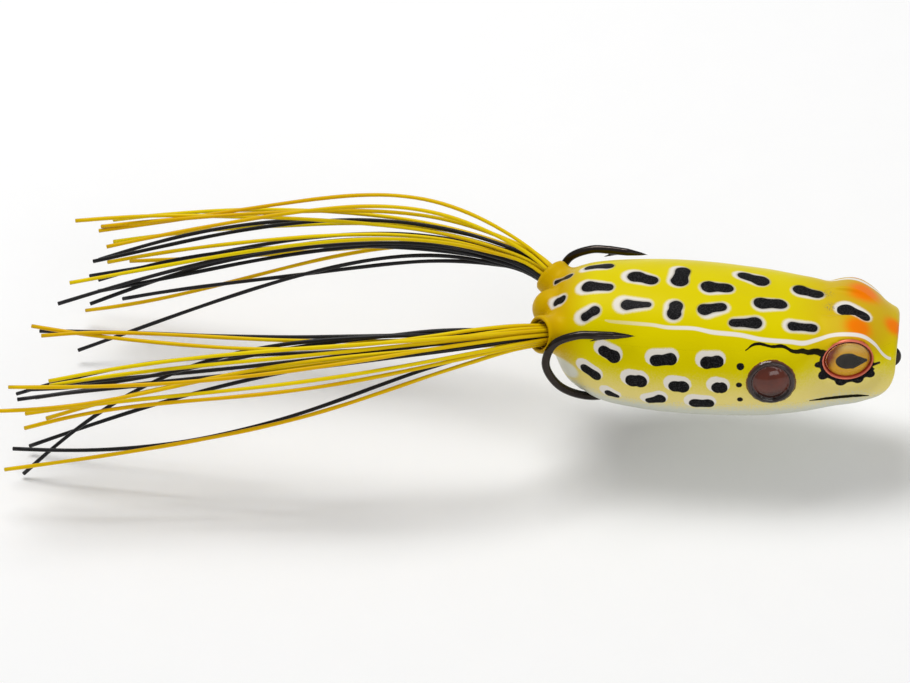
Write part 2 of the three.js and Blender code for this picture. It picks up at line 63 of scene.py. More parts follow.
# ---------------------------------------------------------------- sizes, following the CAD (millimetres)
# The body's outline: rows of (x, value) along it, from the tail to the mouth.
TAIL_X, MOUTH_X = -28.4, 31.7
TAIL_ROUND = 5.0
CHIN_CURVE = 0.078
CHIN_FROM = 16.0
WALL = 1.25
HOLLOW_END = 19.0
OUTLINE = {
    "width": [(-28.4, 9.0), (-24.5, 10.3), (-21, 11.7), (-16, 13.1), (-8, 14.1), (0, 14.3), (8, 13.8),
              (14, 12.9), (19, 11.7), (23, 10.8), (28, 9.9), (31.7, 8.6)],
    "middle": [(-28.4, 3.6), (-25, 3.0), (-21, 1.6), (-16, 0.4), (-8, -0.4), (0, -0.7), (8, -1.3),
               (14, -2.1), (19, -2.7), (25, -3.1), (31.7, -3.0)],
    "top": [(-28.4, 8.6), (-24.5, 9.6), (-21, 10.8), (-16, 11.2), (-8, 11.2), (0, 10.6), (8, 9.5),
            (14, 8.4), (19, 7.6), (25, 6.4), (28.5, 4.9), (31.7, 4.3)],
    "bottom": [(-28.4, -2.2), (-27.2, -4.2), (-25, -7.4), (-20, -10.5), (-14, -11.1), (8, -11.15),
               (16.7, -10.1), (22.5, -9.3), (28.3, -8.9), (31.7, -8.6)],
    "top_power": [(-28.4, 2.1), (-8, 2.3), (5, 2.5), (14, 3.0), (19, 3.4), (24, 3.3), (31.7, 2.8)],
    "bottom_power": [(-28.4, 2.1), (-8, 2.6), (31.7, 2.5)],
    "wall": [(-28.4, WALL), (10, WALL), (HOLLOW_END, 3.0)],
}

# The leg ports and their collars, on the left side.
PORT = np.array([-27.7, 8.05, 4.5])
PORT_YAW, PORT_PITCH = math.radians(39), math.radians(20)
PORT_AXIS = np.array([-math.cos(PORT_YAW) * math.cos(PORT_PITCH), math.sin(PORT_YAW) * math.cos(PORT_PITCH),
                      math.sin(PORT_PITCH)])
PORT_R, PORT_SEAT_R, PORT_BORE, PORT_LIP = 3.3, 2.85, 2.54, 1.6
COLLAR_R, COLLAR_BORE, COLLAR_HALF = 2.62, 2.24, 0.55

# The eyes. The cheek is drawn in round each one: outside BROW_R it falls back from FACE at FACE_SLOPE.
EYE = np.array([23.6, 8.4, 2.45])
EYE_R = 4.45
RIM = 0.5
DOME_R = EYE_R - RIM - 0.1
FACE, FACE_SLOPE, BROW_R = 0.2, 0.7, EYE_R + 0.45
EYE_YAW, EYE_PITCH = math.radians(9), math.radians(-6)
EYE_AXIS = np.array([math.sin(EYE_YAW), math.cos(EYE_YAW), math.sin(EYE_PITCH)])
EYE_AXIS /= np.linalg.norm(EYE_AXIS)

# The eardrums.
DRUM = np.array([11.0, 13.2, 0.3])
DRUM_TILT = math.radians(14)
DRUM_AXIS = np.array([0, math.cos(DRUM_TILT), math.sin(DRUM_TILT)])
DRUM_R, DRUM_INNER = 4.2, 3.06

# The hook: half of its wire as rows of (x, y, z), and of (x, y, z, radius) where it tapers to the point.
WIRE_R = 0.72
HOOK_PLAY = 1.0  # how far the hook slides back
WIRE_AIR = 0.3  # room between the bend and the shell
LINE_EYE = np.array([30.15, 0.0, -2.8])
LINE_EYE_R, LINE_EYE_FLAT = 1.55, 0.55
SHANK = [(28.6, 0.45, -2.8), (26, 0.66, -2.8), (21, 0.66, -2.95), (10, 0.66, -4.6), (-6, 0.66, -7.0)]
BEND = [(-6, 0.66, -7.0), (-10.5, 0.95, -8.2), (-14.5, 2.4, -9.7), (-18.6, 5.7, -9.7), (-22.3, 9.4, -6.9),
        (-25.5, 12.0, -3.0), (-27.3, 12.75, 1.6), (-25.8, 12.75, 5.9), (-22, 12.75, 7.9), (-18.4, 12.6, 8.1)]
POINT = [(-18.6, 12.6, 8.1, 0.72), (-15.6, 12.33, 7.97, 0.65), (-13.25, 12.12, 7.86, 0.32),
         (-11.95, 12.0, 7.8, 0.05)]

# Egg-shaped swellings and hollows of the shell: centre, then radii.
CROWN = (23.5, 0, 2.5), (7.5, 9.8, 5.0)
RUMP = (-27.2, 0, 4.1), (3.7, 3.3, 3.6)
MOUTH_CUP = (32, 0, -2), (5, 7.5, 5.3)
MOUTH_TILT = math.radians(8)
HOOK_SLOT = (-17, 0, -11.5), (8.5, 6.2, 3.6)
NOSE_BORE, NOSE_FROM = 2.2, 15.0
PORT_DEPTH, PORT_FLARE = 8.0, 0.5
EYE_FLOOR, EYE_GRIP = 0.9, 0.1
BROW_FALL, BROW_DRAFT, BROW_DEPTH = 0.3, 0.14, 5.0
FAR = 9.0  # stands for a distance too large to matter, mm


def hermite(rows, x):
    """Value at x of a smooth curve through rows of (x, value), with level ends."""
    last = len(rows) - 1
    if x <= rows[0][0]:
        return rows[0][1]
    if x >= rows[last][0]:
        return rows[last][1]
    i = next(k for k, row in enumerate(rows) if row[0] > x) - 1

    def slope(k):
        if k <= 0 or k >= last:
            return 0.0
        return (rows[k + 1][1] - rows[k - 1][1]) / (rows[k + 1][0] - rows[k - 1][0])

    (x0, v0), (x1, v1) = rows[i], rows[i + 1]
    h = x1 - x0
    t = (x - x0) / h
    return (v0 * (1 + 2 * t) * (1 - t) ** 2 + slope(i) * h * t * (1 - t) ** 2
            + v1 * t * t * (3 - 2 * t) + slope(i + 1) * h * t * t * (t - 1))


STATIONS = np.linspace(TAIL_X, MOUTH_X, 400)
SAMPLED = {name: np.array([hermite(rows, x) for x in STATIONS]) for name, rows in OUTLINE.items()}


def outline(name, x):
    return np.interp(x, STATIONS, SAMPLED[name])


# ---------------------------------------------------------------- distance tools (millimetres)
def ease(start, end, value):
    t = np.clip((value - start) / (end - start), 0, 1)
    return t * t * (3 - 2 * t)


def join(a, b, k):
    """Union of two distances with a fillet of about k."""
    h = np.clip(0.5 + 0.5 * (b - a) / k, 0, 1)
    return b + (a - b) * h - k * h * (1 - h)


def cross(a, b, k):
    return -join(-a, -b, k)


def cut(a, b, k):
    return cross(a, -b, k)


def ellipsoid(x, y, z, centre, radii, tilt=0.0):
    dx, dy, dz = x - centre[0], y - centre[1], z - centre[2]
    c, s = math.cos(tilt), math.sin(tilt)
    dx, dz = dx * c - dz * s, dx * s + dz * c
    near = np.sqrt((dx / radii[0]) ** 2 + (dy / radii[1]) ** 2 + (dz / radii[2]) ** 2)
    steep = np.sqrt((dx / radii[0] ** 2) ** 2 + (dy / radii[1] ** 2) ** 2 + (dz / radii[2] ** 2) ** 2)
    return near * (near - 1) / np.maximum(steep, 1e-6)


def round_axis(x, y, z, at, axis):
    """Distance along an axis and out from it."""
    dx, dy, dz = x - at[0], y - at[1], z - at[2]
    t = dx * axis[0] + dy * axis[1] + dz * axis[2]
    return t, np.sqrt(np.maximum(dx * dx + dy * dy + dz * dz - t * t, 0))


def capsule(x, y, z, a, b, ra, rb, waist=0.0):
    """Distance to a rounded bar from a to b whose radius goes from ra to rb, drawn in at its waist."""
    a, b = np.asarray(a, float), np.asarray(b, float)
    d = b - a
    t = np.clip(((x - a[0]) * d[0] + (y - a[1]) * d[1] + (z - a[2]) * d[2]) / max(d @ d, 1e-9), 0, 1)
    gap = np.sqrt((x - a[0] - t * d[0]) ** 2 + (y - a[1] - t * d[1]) ** 2 + (z - a[2] - t * d[2]) ** 2)
    return gap - (ra + (rb - ra) * t) * (1 - waist * np.sin(math.pi * t) ** 2)


def spline(rows, steps):
    """Points of a Catmull-Rom curve through rows."""
    rows = np.asarray(rows, float)
    ends = np.vstack([2 * rows[0] - rows[1], rows, 2 * rows[-1] - rows[-2]])
    t = np.linspace(0, 1, steps, endpoint=False)[:, None]
    out = []
    for a, b, c, d in zip(ends, ends[1:], ends[2:], ends[3:]):
        out.append(0.5 * (2 * b + (c - a) * t + (2 * a - 5 * b + 4 * c - d) * t**2
                          + (3 * b - a - 3 * c + d) * t**3))
    return np.vstack(out + [rows[-1:]])


# ---------------------------------------------------------------- the shell's shape
def station(x, z):
    """The outline's station at a point, since the chin falls back below the axis."""
    fall = CHIN_CURVE * np.minimum(z, 0) ** 2
    s = x
    for _ in range(3):
        s = x + fall * ease(CHIN_FROM, MOUTH_X, s)
    return s


def skin(x, y, z):
    """Distance to the smooth lofted body, and the station."""
    s = station(x, z)
    middle = outline("middle", s)
    upper = z > middle
    half = outline("width", s)
    reach = np.where(upper, outline("top", s) - middle, middle - outline("bottom", s))
    power = np.where(upper, outline("top_power", s), outline("bottom_power", s))
    u, v = np.abs(y) / half, np.abs(z - middle) / reach
    n = np.maximum((u**power + v**power) ** (1 / power), 1e-4)
    slope = n ** (1 - power) * np.hypot(u ** (power - 1) / half, v ** (power - 1) / reach)
    t = np.maximum((TAIL_X + TAIL_ROUND - s) / TAIL_ROUND, 0)
    m = np.hypot(n, t)
    steep = np.hypot(n * slope, t / TAIL_ROUND) / m
    return (m - 1) / np.maximum(steep, 0.03), s


def drum_relief(x, y, z):
    """How far the moulded eardrum stands out of the flank."""
    _, r = round_axis(x, y, z, DRUM, DRUM_AXIS)
    ring = 0.6 * np.exp(-(((r - 3.62) / 0.42) ** 4))
    dome = 1.05 * np.clip(1 - (r / DRUM_INNER) ** 2, 0, 1) ** 0.75
    return (ring + dome) * (y > 0)


def bend_room(x, y, z):
    """Distance to the bend's wire with air round it, wherever the hook has slid."""
    path = spline(BEND[:6], 4)
    radius = WIRE_R + WIRE_AIR
    room = np.full(np.shape(x), FAR)
    near = (x > -28.5) & (x < -5) & (z < -1) & (y > -1.5)
    px, py, pz = x[near], y[near], z[near]
    gap = np.full(px.shape, FAR)
    for slid in (0.0, HOOK_PLAY / 2, HOOK_PLAY):
        for a, b in zip(path, path[1:]):
            gap = np.minimum(gap, capsule(px + slid, py, pz, a, b, radius, radius))
    room[near] = gap
    return room


def eye_flare(round_eye, depth):
    """Distance to the space round an eye, where the cheek is drawn in."""
    return 0.82 * (FACE + FACE_SLOPE * (round_eye - BROW_R) - depth)


def brow_pad(round_eye, depth, z):
    """Distance to the pad that an eye sits in, lower over the eye."""
    radius = BROW_R - BROW_FALL * ease(1, 4.5, z - EYE[2])
    side = round_eye - radius + BROW_DRAFT * (depth - FACE)
    return cross(cross(side, depth - FACE, 0.4), -BROW_DEPTH - depth, 0.3)


def port_stub(along, out):
    """Distance to the stub that a leg comes out of."""
    side = out - PORT_R - PORT_FLARE * ease(-2, -PORT_DEPTH, along)
    return cross(cross(side, along - PORT_LIP, 0.7), -PORT_DEPTH - along, 0.3)


def port_hollow(along, out):
    """Distance to the space inside a stub: the collar's seat and the widening mouth."""
    seat = np.maximum(out - PORT_SEAT_R, along - COLLAR_HALF - 0.45)
    widening = 0.35 * ease(PORT_LIP - 0.5, PORT_LIP + 0.4, along)
    mouth = np.maximum(out - PORT_BORE - widening, along - FAR)
    return np.maximum(np.minimum(seat, mouth), 1 - PORT_DEPTH - along)


def shell_distance(x, y, z):
    """Distance to the whole shell, solid where negative. The shell is the same on both sides."""
    y = np.abs(y)
    depth, round_eye = round_axis(x, y, z, EYE, EYE_AXIS)
    along, out = round_axis(x, y, z, PORT, PORT_AXIS)
    body, s = skin(x, y, z)
    lip = (s - MOUTH_X) / np.sqrt(1 + (2 * CHIN_CURVE * np.minimum(z, 0)) ** 2)
    body = cross(body, lip, 1.1)
    hollow = cross(body + outline("wall", s), s - HOLLOW_END + 1, 2.5)
    body = cut(body, eye_flare(round_eye, depth), 1.0)
    body = join(body, ellipsoid(x, y, z, *CROWN), 2.6)
    body = join(body, ellipsoid(x, y, z, *RUMP), 0.8)
    body = join(body, port_stub(along, out), 1.7)
    body = join(body, brow_pad(round_eye, depth, z), 1.4)
    body = body - drum_relief(x, y, z)
    body = cross(body, -AXIS_Z - z, 0.4)
    body = cut(body, hollow, 0.3)
    body = cut(body, ellipsoid(x, y, z, *MOUTH_CUP, MOUTH_TILT), 0.9)
    body = cut(body, ellipsoid(x, y, z, *HOOK_SLOT), 0.6)
    body = cut(body, np.maximum(np.hypot(y, z - LINE_EYE[2]) - NOSE_BORE, NOSE_FROM - x), 0.4)
    body = cut(body, port_hollow(along, out), 0.25)
    body = cut(body, np.maximum(round_eye - EYE_R + EYE_GRIP, -EYE_FLOOR - depth), 0.15)
    return cut(body, bend_room(x, y, z), 0.2)


# ---------------------------------------------------------------- meshes
def make_mesh(name, points, faces):
    """A smooth-shaded object from points in millimetres and equal-sided faces."""
    faces = np.asarray(faces, np.int32)
    mesh = bpy.data.meshes.new(name)
    mesh.vertices.add(len(points))
    placed = (np.asarray(points, float) + (0, 0, AXIS_Z)) * MM
    mesh.vertices.foreach_set("co", placed.astype(np.float32).ravel())
    sides = faces.shape[1]
    mesh.loops.add(faces.size)
    mesh.loops.foreach_set("vertex_index", faces.ravel())
    mesh.polygons.add(len(faces))
    mesh.polygons.foreach_set("loop_start", np.arange(0, faces.size, sides, dtype=np.int32))
    mesh.polygons.foreach_set("use_smooth", np.ones(len(faces), bool))
    mesh.update(calc_edges=True)
    mesh.validate()
    piece = bpy.data.objects.new(name, mesh)
    bpy.context.scene.collection.objects.link(piece)
    return piece


def paint(piece, name, values):
    """Keeps one number for each point of the mesh, for its material to read."""
    made = piece.data.attributes.new(name, "FLOAT", "POINT")
    made.data.foreach_set("value", np.asarray(values, np.float32))


def outward(points, faces, inside):
    """The faces, turned round if they look inward as seen from a point inside."""
    a, b, c = (points[faces[:, i]] - inside for i in range(3))
    if np.einsum("ij,ij->i", a, np.cross(b, c)).sum() < 0:
        return faces[:, ::-1]
    return faces


def ring_faces(count, sides, closed=False):
    """Quads between neighbouring rings of points, and from the last to the first if closed."""
    faces = []
    for i in range(count if closed else count - 1):
        a, b = i * sides, (i + 1) % count * sides
        for j in range(sides):
            k = (j + 1) % sides
            faces.append((a + j, a + k, b + k, b + j))
    return np.asarray(faces)


def skinned(field, origin, step, distance=None):
    """Points and quads of the zero surface of distances on a grid, facing outward."""
    grid = openvdb.FloatGrid(4 * step)
    grid.copyFromArray(np.ascontiguousarray(np.clip(field, -4 * step, 4 * step), dtype=np.float32))
    points, quads = grid.convertToQuads()
    points = points.astype(float) * step + origin
    if distance is not None:
        for _ in range(2):
            points = settle(distance, points, step)
    return points, outward(points, quads, 0.0)


def settle(distance, points, step):
    """Moves the points onto the zero surface along its slope."""
    x, y, z = points.T
    h = 0.25 * step
    value = distance(x, y, z)
    slope = np.stack([distance(x + h, y, z) - distance(x - h, y, z),
                      distance(x, y + h, z) - distance(x, y - h, z),
                      distance(x, y, z + h) - distance(x, y, z - h)], axis=1) / (2 * h)
    size = np.maximum((slope**2).sum(axis=1), 0.2)
    move = np.clip(value / size, -step / 2, step / 2)
    return points - slope * move[:, None]


def revolved(name, profile, at, axis, sides):
    """A closed turned piece; profile rows are (radius, distance along the axis)."""
    axis = np.asarray(axis, float) / np.linalg.norm(axis)
    across = np.cross(axis, (0, 0, 1.0))
    across /= np.linalg.norm(across)
    up = np.cross(across, axis)
    angles = 2 * math.pi * np.arange(sides) / sides
    ring = np.cos(angles)[:, None] * across + np.sin(angles)[:, None] * up
    closed = profile[0] == profile[-1]
    rows = profile[:-1] if closed else profile
    points = np.vstack([at + axis * t + ring * max(r, 1e-3) for r, t in rows])
    faces = ring_faces(len(rows), sides, closed)
    return make_mesh(name, points, outward(points, faces, at))


def stand_for(piece, node, body):
    """Shows the piece in place of a CAD node, riding on a body."""
    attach(piece, body)
    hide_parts(node)


# ---------------------------------------------------------------- materials
def linear(colour):
    """Scene-linear colour from an sRGB one given as 0 to 255."""
    share = [c / 255 for c in colour]
    return tuple(c / 12.92 if c <= 0.04045 else ((c + 0.055) / 1.055) ** 2.4 for c in share) + (1.0,)


class Paint:
    """A node material, written as nested calls."""

    def __init__(self, name, roughness, **settings):
        self.material = bpy.data.materials.new(name)
        self.material.use_nodes = True
        self.tree = self.material.node_tree
        self.shader = self.tree.nodes["Principled BSDF"]
        self.put(self.shader.inputs["Roughness"], roughness)
        for key, value in settings.items():
            self.put(self.shader.inputs[key.replace("_", " ")], value)

    def put(self, socket, value):
        if isinstance(value, bpy.types.NodeSocket):
            self.tree.links.new(value, socket)
        else:
            socket.default_value = value

    def tint(self, socket, value):
        """Puts in a colour, given as a socket or as sRGB numbers."""
        self.put(socket, value if isinstance(value, bpy.types.NodeSocket) else linear(value))

    def node(self, kind, **settings):
        made = self.tree.nodes.new(kind)
        for key, value in settings.items():
            setattr(made, key, value)
        return made

    def attribute(self, name):
        return self.node("ShaderNodeAttribute", attribute_name=name).outputs["Fac"]

    def place(self):
        return self.node("ShaderNodeTexCoord").outputs["Object"]

    def noise(self, per_mm, detail=2.0, stretch=None):
        """A grain from 0 to 1 with about per_mm cells to the millimetre."""
        made = self.node("ShaderNodeTexNoise")
        where = self.place()
        if stretch:
            mapping = self.node("ShaderNodeMapping")
            self.put(mapping.inputs["Vector"], where)
            mapping.inputs["Scale"].default_value = stretch
            where = mapping.outputs["Vector"]
        self.put(made.inputs["Vector"], where)
        made.inputs["Scale"].default_value = per_mm / MM
        made.inputs["Detail"].default_value = detail
        return made.outputs["Fac"]

    def facing(self, edge_width):
        """0 where the surface faces the viewer, 1 at its edges."""
        made = self.node("ShaderNodeLayerWeight")
        made.inputs["Blend"].default_value = edge_width
        return made.outputs["Facing"]

    def math(self, operation, a, b=0.0):
        made = self.node("ShaderNodeMath", operation=operation)
        self.put(made.inputs[0], a)
        self.put(made.inputs[1], b)
        return made.outputs[0]

    def ramp(self, value, start, end, low=0.0, high=1.0):
        """From low at start to high at end, with soft shoulders."""
        made = self.node("ShaderNodeMapRange", interpolation_type="SMOOTHSTEP")
        keys = "Value", "From Min", "From Max", "To Min", "To Max"
        for key, number in zip(keys, (value, start, end, low, high)):
            self.put(made.inputs[key], number)
        return made.outputs[0]

    def mix(self, share, a, b):
        """Colour a where the share is 0, b where it is 1."""
        made = self.node("ShaderNodeMix", data_type="RGBA")
        self.put(made.inputs["Factor"], share)
        self.tint(made.inputs["A"], a)
        self.tint(made.inputs["B"], b)
        return made.outputs["Result"]

    def bump(self, height, distance_mm, strength=1.0):
        made = self.node("ShaderNodeBump")
        self.put(made.inputs["Height"], height)
        made.inputs["Distance"].default_value = distance_mm * MM
        made.inputs["Strength"].default_value = strength
        self.put(self.shader.inputs["Normal"], made.outputs["Normal"])

    def colour(self, value):
        """Sets the base colour and gives back the finished material."""
        self.tint(self.shader.inputs["Base Color"], value)
        return self.material


YELLOW, YELLOW_DEEP, GOLDEN = (228, 213, 0), (216, 198, 0), (206, 164, 0)
HEAD_GOLD = (206, 164, 24)
CREAM, BELLY, LEDGE = (232, 214, 128), (206, 208, 194), (226, 226, 210)
HALO, STRIPE = (232, 226, 216), (238, 232, 224)
ORANGE = (248, 120, 2)
BLACK, BLACK_WORN = (14, 13, 14), (52, 51, 53)
SPECKLE, FRINGE = (110, 104, 96), (70, 56, 44)
# The last colour on this line is painted shade for the eardrum's lower part.
DRUM_RING, DRUM_EDGE, DRUM_PAINTED_SHADE = (50, 32, 28), (120, 62, 20), (24, 12, 10)
DRUM_DOME, DRUM_DEEP = (108, 40, 16), (76, 28, 12)
WHITE, YELLOW_SHINE = (255, 255, 255), (255, 236, 90)


def spread(p, noise, width):
    """A noise centred on zero, width from its lowest to its highest."""
    return p.math("MULTIPLY", p.math("SUBTRACT", noise, 0.5), width)


def edge(p, value, width, rough, per_mm=2.2):
    """1 inside a painted shape, 0 outside, with an edge as soft as width and as rough as rough (mm)."""
    return p.ramp(p.math("ADD", value, spread(p, p.noise(per_mm), rough)), width, -width)


def skin_ground(p):
    """The airbrushed ground: yellow back, golden ends, cream flank, pale belly, orange brows."""
    spray = spread(p, p.noise(3.2, 3), 4.0)
    height = p.math("ADD", p.attribute("height"), spray)
    warm = p.mix(p.noise(0.12), YELLOW, YELLOW_DEEP)
    warm = p.mix(p.attribute("head"), warm, HEAD_GOLD)
    warm = p.mix(p.attribute("golden"), warm, GOLDEN)
    flank = p.mix(p.ramp(height, -3.6, 2.8), CREAM, warm)
    colour = p.mix(p.ramp(height, -6.8, -3.6), BELLY, flank)
    colour = p.mix(p.attribute("pale"), colour, LEDGE)
    mist = p.ramp(p.math("ADD", p.attribute("orange"), p.math("MULTIPLY", spray, 0.05)), 0.05, 0.8)
    return p.mix(p.math("MULTIPLY", mist, 0.94), colour, ORANGE)


def skin_pale(p, colour):
    """The spots' pale halos and the stripe, over a ground."""
    soft = p.attribute("softness")
    halo = p.math("ADD", p.attribute("halo"), spread(p, p.noise(4, 3), 0.3))
    colour = p.mix(p.ramp(halo, soft, p.math("MULTIPLY", soft, -1.0)), colour, HALO)
    stripe = p.math("ABSOLUTE", p.attribute("stripe"))
    strength = p.math("MULTIPLY", p.ramp(stripe, 1.2, 0.7), p.attribute("stripe_strength"))
    return p.mix(strength, colour, STRIPE)


def drum_colour(p, radius):
    """The eardrum: a red-brown dome in a darker ring, with painted shade darkening it toward the bottom."""
    dome = p.mix(p.noise(0.6, 3), DRUM_DOME, DRUM_DEEP)
    colour = p.mix(p.ramp(radius, DRUM_INNER + 0.12, DRUM_INNER - 0.12), DRUM_RING, dome)
    colour = p.mix(p.ramp(radius, DRUM_R - 0.3, DRUM_R), colour, DRUM_EDGE)
    return p.mix(p.ramp(p.attribute("drum_low"), 0.3, 2.6, 0.0, 0.8), colour, DRUM_PAINTED_SHADE)


def skin_dark(p, colour):
    """The drawn lines, the head's speckles and each spot's dark blur, over the pale layers."""
    line = p.math("ADD", p.math("ABSOLUTE", p.attribute("line")), p.math("MULTIPLY", p.noise(1.6), 0.5))
    colour = p.mix(p.ramp(line, 1.35, 1.05), colour, BLACK)
    grains = p.ramp(p.noise(5, 1), 0.5, 0.62)
    colour = p.mix(p.math("MULTIPLY", grains, p.attribute("speckle")), colour, SPECKLE)
    fringe = p.ramp(p.attribute("spot"), 0.45, 0.0, 0.0, 0.42)
    return p.mix(p.math("MULTIPLY", fringe, p.attribute("fringe")), colour, FRINGE)


def skin_material():
    """Sprayed vinyl, glossier on the eardrum and duller on the black ink."""
    p = Paint("frog_skin", 0.36)
    drum = p.attribute("drum")
    on_drum = edge(p, p.math("SUBTRACT", drum, DRUM_R), 0.06, 0.4, 1.4)
    colour = skin_pale(p, skin_ground(p))
    colour = skin_dark(p, p.mix(on_drum, colour, drum_colour(p, drum)))
    ink = edge(p, p.attribute("spot"), 0.07, 0.2, 0.9)
    colour = p.mix(ink, colour, p.mix(p.ramp(p.noise(5, 4), 0.45, 0.7), BLACK, BLACK_WORN))
    shine = p.math("SUBTRACT", p.ramp(on_drum, 0.0, 1.0, 0.12, 0.5), p.math("MULTIPLY", ink, 0.08))
    white_shine = p.math("MAXIMUM", on_drum, ink)
    p.put(p.shader.inputs["Roughness"], p.ramp(on_drum, 0.0, 1.0, 0.36, 0.1))
    p.put(p.shader.inputs["Specular IOR Level"], shine)
    p.put(p.shader.inputs["Specular Tint"], p.mix(white_shine, YELLOW_SHINE, WHITE))
    p.bump(p.noise(1.1, 4), 0.03, 0.45)
    return p.colour(colour)


# The last colour on this line is painted shade for the wire's edges.
NICKEL, NICKEL_LIT, NICKEL_PAINTED_SHADE = (46, 41, 39), (66, 60, 56), (22, 18, 16)
# The rim's copper: a pale lip that is partly painted highlight, and two inner colours darkened as painted
# shade.
COPPER_LIP_HIGHLIT, COPPER_SHADED, COPPER_WARM = (228, 116, 90), (150, 36, 12), (196, 70, 26)
# The last colour on this line is the leaf's painted highlight.
LEAF, LEAF_DEEP, LEAF_HIGHLIGHT = (250, 206, 52), (214, 154, 10), (252, 226, 140)
LEAF_RED, LEAF_RIM, PUPIL = (128, 26, 4), (176, 62, 14), (14, 14, 15)
CLEAR, CLEAR_WARM = (255, 252, 246), (255, 246, 232)


def metal_material():
    """Black nickel plating, with painted shade darkening it where it turns away, in place of dark
    reflections.
    """
    p = Paint("black_nickel", 0.24, Metallic=1.0)
    p.put(p.shader.inputs["Roughness"], p.ramp(p.noise(4, 4), 0.25, 0.75, 0.14, 0.26))
    p.bump(p.noise(3.5, 4), 0.015, 0.4)
    lit = p.mix(p.noise(0.9, 4), NICKEL, NICKEL_LIT)
    return p.colour(p.mix(p.ramp(p.facing(0.45), 0.25, 0.85), lit, NICKEL_PAINTED_SHADE))


def strand_material(name, light, deep, painted_edge_shade, roughness, shine):
    """Stretchy round rubber: fine length-wise streaks, a slow drift of tone, and painted shade darkening it
    toward its edges.
    """
    p = Paint(name, roughness, Specular_IOR_Level=0.22, Specular_Tint=linear(shine))
    tone = p.math("ADD", p.attribute("tone"), p.math("MULTIPLY", p.noise(0.15, 2), 0.6))
    p.bump(p.noise(2.5, 3, (0.2, 1, 1)), 0.03, 0.6)
    colour = p.mix(p.ramp(tone, 0.1, 1.2), light, deep)
    return p.colour(p.mix(p.ramp(p.facing(0.4), 0.35, 0.95, 0.0, 0.75), colour, painted_edge_shade))


def ring_material():
    """Copper-red paint on the eye's rim, with painted shade deepening it toward the inside, where the eye's
    hollow lies; the pale lip is partly painted highlight.
    """
    p = Paint("eye_copper", 0.3, Metallic=0.4, Coat_Weight=0.15, Coat_Roughness=0.1)
    p.bump(p.noise(3, 3), 0.02, 0.5)
    # The inner wall's colour, darker as painted shade of the eye's hollow.
    deep = p.mix(p.noise(1.2, 3), COPPER_SHADED, COPPER_WARM)
    return p.colour(p.mix(p.ramp(p.attribute("inward"), 0.45, 0.85), COPPER_LIP_HIGHLIT, deep))


def foil_material():
    """Gold leaf that reddens toward the back of the eye, with the pupil printed on it and a painted
    highlight paling it toward the top.
    """
    p = Paint("eye_foil", 0.4, Metallic=0.25, Specular_IOR_Level=0.2)
    leaf = p.mix(p.noise(4.5, 4), LEAF, LEAF_DEEP)
    # Painted highlight: the leaf pales toward its top.
    leaf = p.mix(p.ramp(p.attribute("up"), 0.6, 2.6, 0.0, 0.8), leaf, LEAF_HIGHLIGHT)
    red = p.math("ADD", p.attribute("rearward"), p.math("MULTIPLY", p.noise(1.5, 3), 0.8))
    leaf = p.mix(p.ramp(red, 1.5, 3.2), leaf, LEAF_RED)
    rim = p.ramp(p.attribute("radius"), 3.2, 3.9)
    leaf = p.mix(p.math("MULTIPLY", rim, 0.85), leaf, LEAF_RIM)
    p.bump(p.noise(5, 3), 0.02, 0.6)
    return p.colour(p.mix(edge(p, p.attribute("pupil"), 0.05, 0.16), leaf, PUPIL))


def clear_material():
    """The eye's clear resin."""
    p = Paint("eye_clear", 0.03, Transmission_Weight=1.0, IOR=1.2)
    p.bump(p.noise(0.4, 2), 0.01, 0.2)
    return p.colour(p.mix(p.noise(0.3), CLEAR, CLEAR_WARM))


def plain_grain(name, a, b, roughness, per_mm, depth, **settings):
    """A plain surface that drifts between two colours, with a fine bump of one scale."""
    p = Paint(name, roughness, **settings)
    p.bump(p.noise(per_mm, 4), depth, 0.7)
    return p.colour(p.mix(p.noise(per_mm / 2, 3), a, b))


# ---------------------------------------------------------------- painted pattern
# Spots as (x, y, radius) at each end, with how far the pale halo is shifted (x, y) and how wide it is.
BACK_SPOTS = [
    ((-12.9, 0.5, 1.6), (-10.3, -0.4, 1.25), (-0.55, 0.15, 0.5)),
    ((-5.2, 3.3, 1.3), (-5.5, 0.0, 1.55), (-0.6, 0.0, 0.4)),
    ((-13.9, -6.4, 1.1), (-10.3, -6.3, 0.55), (-0.6, 0.1, 0.75)),
    ((-5.6, -6.3, 1.2), (-5.8, -7.7, 1.25), (-0.35, -0.2, 0.5)),
    ((-0.3, -0.7, 1.6), (2.5, -0.4, 1.25), (0.0, -0.3, 0.3)),
    ((-0.8, -6.4, 1.2), (2.0, -5.4, 0.95), (0.45, -0.25, 0.45)),
    ((-20.8, -2.2, 1.35), (-17.4, -2.6, 0.9), (-0.6, 0.0, 0.55)),
    ((-21.4, 3.9, 0.85), (-18.2, 4.1, 1.15), (-0.6, -0.3, 0.3)),
    ((5.2, 4.3, 1.2), (8.0, 3.5, 1.65), (-0.5, 0.0, 0.35)),
    ((15.0, 2.9, 1.45), (17.8, 2.3, 1.15), (-0.1, -0.45, 0.25)),
    ((8.7, -3.0, 1.45), (11.7, -2.3, 1.3), (0.0, -0.35, 0.35)),
    ((4.2, -8.3, 0.75), (7.9, -7.7, 1.2), (0.35, 0.0, 0.4)),
    ((14.2, -7.1, 0.95), (17.5, -6.8, 0.9), (-0.35, 0.1, 0.5)),
    ((22.9, -1.9, 1.6), (25.8, -2.9, 1.3), (-0.15, 0.55, 0.4)),
    ((-26.4, -2.9, 0.85), (-25.4, -3.3, 0.9), (-0.5, 0.1, 0.55)),
    ((-20.9, -8.1, 0.8), (-19.3, -7.3, 0.9), (-0.6, 0.0, 0.6)),
    ((-27.2, 4.4, 0.5), (-24.7, 2.8, 0.75), (0.0, 0.0, 0.12)),
]
